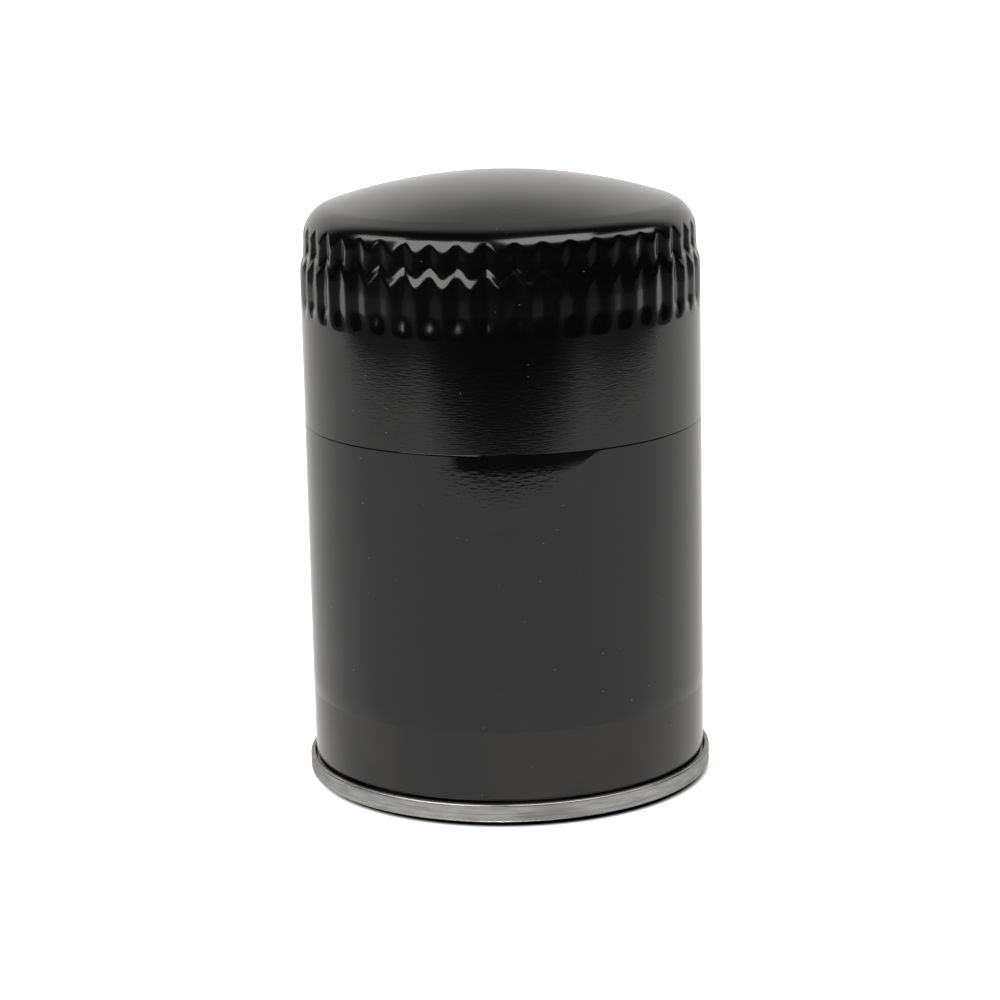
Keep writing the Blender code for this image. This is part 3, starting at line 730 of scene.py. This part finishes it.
def make_film():
    """The film round the wall, its edges thin, with an air pocket under the upper edge."""
    low, high = heights("wrap_label")
    inner = WALL + FILM_GAP
    outer = inner + FILM_THICKNESS
    thin = inner + FILM_EDGE_SHARE * FILM_THICKNESS
    rows = [(thin, high), (outer, high - FILM_EDGE)]
    pocket_end = high - POCKET_TOP - POCKET_LENGTH
    rows += [(outer, height)
             for height in (*np.arange(high - FILM_ROWS_START, pocket_end, -FILM_ROWS),
                            *np.linspace(pocket_end, low + FILM_PLAIN_END, WALL_ROWS))]
    rows += [(outer, low + FILM_EDGE), (thin, low), (inner, low), (inner, high)]

    def shape(angle, radius, height):
        heading = (angle + math.pi / 2.0 + math.pi) % TURN - math.pi    # 0 at the front
        down = high - height
        edge_share = np.clip(down / POCKET_TOP, 0.0, 1.0)
        right = POCKET_CORNER + (POCKET_RIGHT - POCKET_CORNER) * edge_share ** POCKET_BOW
        within = (smooth_step(*POCKET_LEFT, heading)
                  * (1.0 - smooth_step(0.0, POCKET_FADE, heading - right)))
        rise = np.sin(0.5 * math.pi * edge_share)
        fall = 1.0 - smooth_step(POCKET_TOP, POCKET_TOP + POCKET_LENGTH, down)
        lifted = POCKET_LIFT * within * rise * fall
        return np.where(radius > inner + 0.5 * (thin - inner), radius + lifted, radius), height

    piece = lathe("wrap_film", rows, CAN_COLUMNS, shape=shape)
    return stand_for(piece, "wrap_label", "root", "satin_film")


def make_lid():
    """The seaming lid with rounded folds and its ring of weld dimples."""
    half = SHEET / 2.0
    low, high = heights("seaming_lid")
    groove_in, edge = radii("seaming_lid")
    groove_in, edge = groove_in + half, edge - half - ROLLED_IN
    floor = high - half
    top = top_beyond("seaming_lid", edge) - half
    path = [(edge - HOOK_WIDTH, top), (edge, top), (edge, low + half), (CHUCK, low + half),
            (CHUCK, floor), (RIDGE, floor), (RIDGE, RIDGE_Z), (GROOVE_OUTER, RIDGE_Z),
            (GROOVE_OUTER, floor), (groove_in, floor), (groove_in, LID_EDGE_Z)]
    welds = (np.arange(WELDS) + 0.5) * TURN / WELDS

    def dimpled(angle, radius, height):
        height = height.copy()
        for weld in welds:
            apart = (radius - WELD_CIRCLE) ** 2 + (WELD_CIRCLE * np.sin(angle - weld)) ** 2
            facing = np.cos(angle - weld) > 0.0
            height += WELD_HEIGHT * np.exp(-apart / WELD_RADIUS ** 2) * facing
        return radius, height

    section = rounded(path, LID_FOLD, 6, closed=False)
    dense = []
    for first, second in zip(section, section[1:]):
        count = max(int((Vector(first) - Vector(second)).length / LID_ROWS), 1)
        dense += [tuple(Vector(first).lerp(Vector(second), step / count))
                  for step in range(count)]
    first, second = sheet(dense + section[-1:], SHEET)
    outline = [tuple(point) for point in np.vstack([first, second[::-1]])]
    piece = lathe("seaming_cover", outline, WIDE_COLUMNS, shape=dimpled)
    return stand_for(piece, "seaming_lid", "root", "bare_steel")


make_can()
make_film()
make_lid()


# ------------------------------------------------------------------ gasket, plate, membrane

def make_gasket():
    """The gasket: a square ring with rounded edges and a fine parting line."""
    inner, outer = radii("outer_gasket")
    low, high = heights("outer_gasket")
    middle = (low + high) / 2.0
    outline = rounded([(outer, high), (outer, middle + PARTING_HALF_WIDTH),
                       (outer - PARTING_DEPTH, middle), (outer, middle - PARTING_HALF_WIDTH),
                       (outer, low), (inner, low), (inner, high)], GASKET_CORNER)
    return stand_for(lathe("face_gasket", outline, WIDE_COLUMNS), "outer_gasket", "root",
                     "black_rubber")


def make_plate():
    """The tapping plate, with its thread cut and its inlet holes countersunk."""
    bore, outer = radii("tapping_plate")
    low, neck_top = heights("tapping_plate")
    high = top_beyond("tapping_plate", outer - MM)
    levels = np.arange(low, neck_top, THREAD_PITCH / THREAD_ROWS)
    body = rounded([(NECK_RADIUS, neck_top), (NECK_RADIUS, high), (outer, high), (outer, low)],
                   PLATE_EDGE, closed=False)
    outline = body + [(bore, height) for height in [*levels, neck_top]]

    def threaded(angle, radius, height):
        radius = radius.copy()
        inside = radius < bore + 1e-6
        phase = (height / THREAD_PITCH - angle / TURN) % 1.0
        fall = np.clip((np.abs(2.0 * phase - 1.0) - THREAD_CREST) / THREAD_FLANK, 0.0, 1.0)
        end = np.minimum(height - low, neck_top - height)
        chamfer = np.maximum(THREAD_CHAMFER - end, 0.0)
        radius[inside] = bore + np.maximum(fall * THREAD_DEPTH, chamfer)[inside]
        return radius, height

    piece = lathe("tapped_plate", outline, RING_COLUMNS, shape=threaded)
    wide = INLET_RADIUS + INLET_FLARE + MM
    sides = [(0.0, high + MM), (wide, high + MM), (INLET_RADIUS, high - INLET_FLARE),
             (INLET_RADIUS, low + INLET_FLARE), (wide, low - MM), (0.0, low - MM)]
    holes = []
    for index in range(INLETS):
        angle = TURN * (index / INLETS + INLET_TURN)
        hole = lathe(f"inlet_cutter_{index + 1}", sides, INLET_COLUMNS)
        hole.data.transform(Matrix.Translation((INLET_CIRCLE * math.cos(angle),
                                                INLET_CIRCLE * math.sin(angle), 0.0)))
        holes.append(hole)
    cut(piece, holes)
    return stand_for(piece, "tapping_plate", "root", "bare_steel", "plate_steel")


def make_membrane():
    """The anti-drain membrane: hub, thin skirt with a rib, and rounded lip."""
    low, high = heights("anti_drain_membrane")
    inner, skirt = radii("anti_drain_membrane")
    outer = inner + MEMBRANE
    foot = low + MEMBRANE
    outline = rounded([(outer, high), (outer, foot + MM),
                       *[(radius, foot + rise) for radius, rise in MEMBRANE_RIB],
                       (skirt, low + MM), (skirt, low), (skirt - LIP_WIDTH, low),
                       (outer - HUB_STEP, foot), (inner, foot), (inner, high)],
                      MEMBRANE_CORNER)
    return stand_for(lathe("drain_membrane", outline, RING_COLUMNS), "anti_drain_membrane",
                     "root", "membrane_rubber")


make_gasket()
make_plate()
make_membrane()


# ------------------------------------------------------------------ element

def make_cap(name, cad_name, rim_up):
    """A pressed end cap with a rolled corner."""
    low, high = heights(cad_name)
    hole, outer = radii(cad_name)
    half = CAP_SHEET / 2.0
    floor, rim = (low + half, high) if rim_up else (high - half, low)
    path = [(outer - half, rim), (outer - half, floor), (hole, floor)]
    return stand_for(lathe(name, pressed(path, CAP_SHEET, CAP_CORNER), RING_COLUMNS), cad_name,
                     "element", "plated_steel")


def make_pleats():
    """The pleated paper: rounded folds, none quite like the next."""
    low, high = heights("pleated_media")
    draw = random.Random(PLEAT_SEED)
    corners = []
    for pleat in range(PLEATS):
        for radius, turn in ((PLEAT_RADII[1], 0.0), (PLEAT_RADII[0], 0.5)):
            radius -= draw.uniform(0.0, PLEAT_SPREAD) * MM
            angle = TURN * (pleat + turn) / PLEATS
            half = FOLD / 2.0 / radius
            for side in (-half, half):
                corners.append((radius * math.cos(angle + side), radius * math.sin(angle + side)))
    outer, inner = sheet(rounded(corners, PLEAT_CORNER, 4), PAPER, closed=True)
    rings = [np.column_stack([side, np.full(len(side), height)])
             for side, height in ((outer, low), (outer, high), (inner, high), (inner, low))]
    index = np.arange(4 * len(outer)).reshape(4, len(outer))
    faces = strip_faces(np.vstack([index, index[:1]])[::-1])
    piece = finished("paper_pleats", np.stack(rings), faces, 40.0)
    return stand_for(piece, "pleated_media", "element", "filter_paper")


def make_valve():
    """The relief valve: seat and cage on the element, poppet pieces on their own body."""
    hole, flange = radii("bypass_seat")
    low, high = heights("bypass_seat")
    half = SHEET / 2.0
    path = [(flange, high - half), (SEAT_CUP, high - half), (SEAT_CUP, low + half),
            (hole, low + half)]
    stand_for(lathe("relief_seat", pressed(path, SHEET, SEAT_CORNER), SMALL_COLUMNS),
              "bypass_seat", "element", "plated_steel")

    guide, flange = radii("bypass_cage")
    low, high = heights("bypass_cage")
    path = [(flange, high - half), (CAGE_WALL, high - half), (CAGE_WALL, low + half),
            (guide, low + half)]
    cage = lathe("relief_cage", pressed(path, SHEET, CAGE_CORNER), SMALL_COLUMNS)
    corners = rounded([(WINDOW_HALF_WIDTH, WINDOW_Z[1]), (WINDOW_HALF_WIDTH, WINDOW_Z[0]),
                       (-WINDOW_HALF_WIDTH, WINDOW_Z[0]), (-WINDOW_HALF_WIDTH, WINDOW_Z[1])],
                      WINDOW_CORNER)
    ends = [[(end, across, height) for across, height in corners]
            for end in (-WINDOW_REACH, WINDOW_REACH)]
    grid = np.arange(2 * len(corners)).reshape(2, len(corners))
    caps = [grid[0].tolist(), grid[1][::-1].tolist()]
    windows = []
    for index in range(2):
        window = finished(f"window_cutter_{index + 1}", ends, strip_faces(grid) + caps)
        window.data.transform(Matrix.Rotation(index * math.pi / 2.0, 4, "Z"))
        windows.append(window)
    cut(cage, windows)
    stand_for(cage, "bypass_cage", "element", "plated_steel")

    for name, cad_name, slot in (("relief_disc", "bypass_disc", "plated_steel"),
                                 ("relief_seal", "bypass_seal", "black_rubber")):
        outline = ring(*radii(cad_name), *heights(cad_name), DISC_EDGE)
        stand_for(lathe(name, outline, SMALL_COLUMNS), cad_name, "relief_valve", slot)
    low, high = heights("bypass_stem")
    head = reach("bypass_stem", high - 0.3 * MM, high + MM)
    shaft = reach("bypass_stem", low - MM, low + 2.0 * MM)
    outline = rounded([(0.0, high), (head, high), (head, high - STEM_HEAD),
                       (shaft, high - STEM_HEAD), (shaft, low), (0.0, low)], STEM_EDGE,
                      closed=False)
    stand_for(lathe("relief_stem", outline, STEM_COLUMNS, closed=False), "bypass_stem",
              "relief_valve", "plated_steel")


def make_springs():
    """The two springs, each wound between its CAD node's ends and given a mesh of its own."""
    low, high = heights("element_spring")
    spring = wire("hold_down_coil", ELEMENT_COILS, (low, high), ELEMENT_TURNS, ELEMENT_WIRE)
    stand_for(spring, "element_spring", "root", "spring_steel")
    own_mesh(spring)
    low, high = heights("bypass_spring")
    spring = wire("relief_coil", VALVE_COILS, (low, high), VALVE_TURNS, VALVE_WIRE)
    stand_for(spring, "bypass_spring", "element", "spring_steel")
    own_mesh(spring)


make_cap("lower_end_cap", "bottom_end_cap", True)
make_cap("upper_end_cap", "top_end_cap", False)
make_pleats()
make_valve()
make_springs()

for name, material in (("seam_compound", "seam_compound"), ("bottom_potting", "potting"),
                       ("top_potting", "potting"), ("center_tube", "plated_steel"),
                       ("media_seam_clip", "plated_steel")):
    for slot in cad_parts[name].material_slots:
        slot.material = materials[material]


# ------------------------------------------------------------------ stage, light, camera

def stage_plane(name, low, high, material):
    """A level rectangle at the height that the filter stands on."""
    corners = [(low[0], low[1]), (high[0], low[1]), (high[0], high[1]), (low[0], high[1])]
    mesh = bpy.data.meshes.new(name)
    mesh.from_pydata([(x, y, cad_low.z) for x, y in corners], [], [(0, 1, 2, 3)])
    made = placed(name, mesh)
    made.data.materials.append(material)
    return made


def glowing(name):
    """A material that only glows, and its pieces."""
    made = bpy.data.materials.new(name)
    made.use_nodes = True
    tree = made.node_tree
    tree.nodes.clear()
    output = node(tree, "ShaderNodeOutputMaterial")
    glow = node(tree, "ShaderNodeEmission", {"Color": TABLE_COLOUR})
    return made, tree, output, glow


def from_axis(tree, offset):
    """Distance on the table from a point beside the filter's axis."""
    world = node(tree, "ShaderNodeNewGeometry").outputs["Position"]
    moved = node(tree, "ShaderNodeVectorMath", {0: world, 1: offset}, operation="SUBTRACT")
    return node(tree, "ShaderNodeVectorMath", {0: moved.outputs[0]},
                operation="LENGTH").outputs["Value"]


def painted_contact_shadow(tree):
    """Painted contact shadow on the table's glow: 0 under the filter, 1 on the open table."""
    seam = cad_high.x - ROLLED_IN
    away = from_axis(tree, SHADE_OFFSET)
    return ranged(tree, away, seam + SHADE_RANGE[0], seam + SHADE_RANGE[1])


def make_stage():
    """A pale table: one plane for the eye, and the lit table that the filter mirrors; both glow,
    with a painted contact shadow under the filter.
    """
    seen, tree, output, glow = glowing("pale_table")
    # Painted contact shadow: the glow and the diffuse colour go dark under the filter.
    painted_shadow = painted_contact_shadow(tree)
    tree.links.new(calc(tree, "MULTIPLY", painted_shadow, TABLE_GLOW), glow.inputs["Strength"])
    shade = mixed(tree, painted_shadow, (0.02, 0.02, 0.02), (0.5, 0.5, 0.5))
    diffuse = node(tree, "ShaderNodeBsdfDiffuse", {"Color": shade})
    both = node(tree, "ShaderNodeAddShader", {0: glow.outputs[0], 1: diffuse.outputs[0]})
    through = node(tree, "ShaderNodeBsdfTransparent")
    back = node(tree, "ShaderNodeNewGeometry").outputs["Backfacing"]
    shown = node(tree, "ShaderNodeMixShader",
                 {0: back, 1: both.outputs[0], 2: through.outputs[0]})
    tree.links.new(shown.outputs[0], output.inputs[0])
    floor = stage_plane("floor", (-6.0, -6.0), (6.0, 6.0), seen)
    floor.visible_glossy = False
    floor.visible_diffuse = False
    floor.visible_shadow = False

    lit, tree, output, glow = glowing("lit_table")
    world = node(tree, "ShaderNodeNewGeometry").outputs["Position"]
    parts = node(tree, "ShaderNodeSeparateXYZ", {0: world}).outputs
    aside = calc(tree, "ABSOLUTE", parts[0])
    ahead = calc(tree, "ADD", parts[1], calc(tree, "MULTIPLY", aside, LIT_FRONT_BOW))
    front = ranged(tree, ahead, *LIT_FRONT)
    wide = calc(tree, "SUBTRACT", aside, calc(tree, "MULTIPLY", parts[1], LIT_SIDE_SLOPE))
    side = ranged(tree, wide, *LIT_SIDE, 1.0, 0.0)
    tail = ranged(tree, parts[1], *LIT_TAIL, *LIT_TAIL_LEVELS)
    reachable = calc(tree, "MAXIMUM", calc(tree, "MULTIPLY", front, side), tail)
    # The mirrored glow carries the painted contact shadow too.
    bright = calc(tree, "MULTIPLY", reachable, painted_contact_shadow(tree))
    tree.links.new(calc(tree, "MULTIPLY", bright, TABLE_GLOW), glow.inputs["Strength"])
    tree.links.new(glow.outputs[0], output.inputs[0])
    table = stage_plane("mirrored_table", (-3.0, -3.0), (3.0, 3.0), lit)
    table.visible_camera = False
    table.visible_shadow = False


def make_world():
    """White behind and overhead, dark in front, and plain white to the eye."""
    world = bpy.data.worlds.new("studio")
    bpy.context.scene.world = world
    world.use_nodes = True
    tree = world.node_tree
    tree.nodes.clear()
    output = node(tree, "ShaderNodeOutputWorld")
    place = node(tree, "ShaderNodeTexCoord").outputs["Generated"]
    x, y, z = node(tree, "ShaderNodeSeparateXYZ", {0: place}).outputs[:3]
    aside = calc(tree, "ABSOLUTE", x)
    bend = calc(tree, "MULTIPLY", calc(tree, "MULTIPLY", x, x), ROOM_FRONT_BOW)
    edge = ranged(tree, calc(tree, "SUBTRACT", y, bend), *ROOM_FRONT)
    gap = calc(tree, "MULTIPLY", ranged(tree, z, *GAP_LOW), ranged(tree, z, *GAP_HIGH, 1.0, 0.0))
    gap = calc(tree, "MULTIPLY", gap, ranged(tree, aside, *GAP_ASIDE, *GAP_LEVELS))
    wings = calc(tree, "MULTIPLY", ranged(tree, aside, *WING_ASIDE, 0.0, WING_LEVEL),
                 ranged(tree, z, *WING_LOW))
    level = calc(tree, "ADD", calc(tree, "SUBTRACT", ROOM_LEVEL, gap), wings)
    room = calc(tree, "MAXIMUM", calc(tree, "MULTIPLY", edge, level), ROOM_LEAST)
    dim = node(tree, "ShaderNodeBackground", {"Color": (*LAMP_COLOUR, 1.0), "Strength": room})
    white = node(tree, "ShaderNodeBackground", {"Color": (1.0, 1.0, 1.0, 1.0), "Strength": 1.0})
    eye = node(tree, "ShaderNodeLightPath").outputs["Is Camera Ray"]
    shown = node(tree, "ShaderNodeMixShader", {0: eye, 1: dim.outputs[0], 2: white.outputs[0]})
    tree.links.new(shown.outputs[0], output.inputs[0])


def direction(azimuth, elevation):
    """A unit vector: azimuth 0 points to the camera's side (-Y), 90 to +X."""
    a, e = math.radians(azimuth), math.radians(elevation)
    return Vector((math.sin(a) * math.cos(e), -math.cos(a) * math.cos(e), math.sin(e)))


def softbox(name, start, end, width, radiance):
    """A soft light that spans two directions, seen from the filter's shoulder."""
    first, last = direction(*start), direction(*end)
    middle = (first + last).normalized()
    along = (last - first).normalized()
    across = middle.cross(along)
    length = 2.0 * LAMP_DISTANCE * math.tan(first.angle(last) / 2.0)
    breadth = 2.0 * LAMP_DISTANCE * math.tan(math.radians(width) / 2.0)
    data = bpy.data.lights.new(name, "AREA")
    data.shape = "RECTANGLE"
    data.size = length
    data.size_y = breadth
    data.energy = radiance * math.pi * length * breadth
    data.color = LAMP_COLOUR
    lamp = placed(name, data)
    turn = Matrix((along, across, middle)).transposed()
    lamp.matrix_world = (Matrix.Translation(Vector(LAMP_CENTRE) + middle * LAMP_DISTANCE)
                         @ turn.to_4x4())
    lamp.visible_camera = False


def under_table_lamp():
    """A narrow lamp under the table, for looking at the filter's mounting face."""
    data = bpy.data.lights.new("under_table", "SPOT")
    data.energy = 20.0
    data.spot_size = math.radians(8.0)
    data.spot_blend = 0.4
    data.shadow_soft_size = 0.03
    lamp = placed("under_table", data)
    lamp.matrix_world = (Matrix.Translation((0.0, 0.0, -UNDER_LAMP_DEPTH))
                         @ Matrix.Rotation(math.pi, 4, "X"))
    lamp.visible_camera = False


def make_camera():
    """The camera, set back from the filter and looking slightly down on it."""
    level = math.cos(CAMERA_PITCH)
    forward = Vector((math.sin(CAMERA_YAW) * level, math.cos(CAMERA_YAW) * level,
                      -math.sin(CAMERA_PITCH)))
    right = Vector((math.cos(CAMERA_YAW), -math.sin(CAMERA_YAW), 0.0))
    upward = right.cross(forward)
    across = right * math.cos(CAMERA_ROLL) + upward * math.sin(CAMERA_ROLL)
    up = upward * math.cos(CAMERA_ROLL) - right * math.sin(CAMERA_ROLL)
    data = bpy.data.cameras.new("camera")
    data.lens = CAMERA_LENS
    data.sensor_width = CAMERA_SENSOR
    camera = placed("camera", data)
    camera.matrix_world = (Matrix.Translation(CAMERA_PLACE)
                           @ Matrix((across, up, -forward)).transposed().to_4x4())
    bpy.context.scene.camera = camera


make_stage()
make_world()
softbox("left_front_box", (-13, 28), (-64, 23), 34, 4.8)
softbox("left_side_box", (-68, 40), (-98, 27), 11, 4.4)
softbox("right_front_box", (3, 42), (67, 41), 21, 5.2)
softbox("right_side_box", (66, 37), (108, 23), 9, 3.6)
under_table_lamp()
make_camera()
bpy.context.scene.view_settings.view_transform = "Standard"
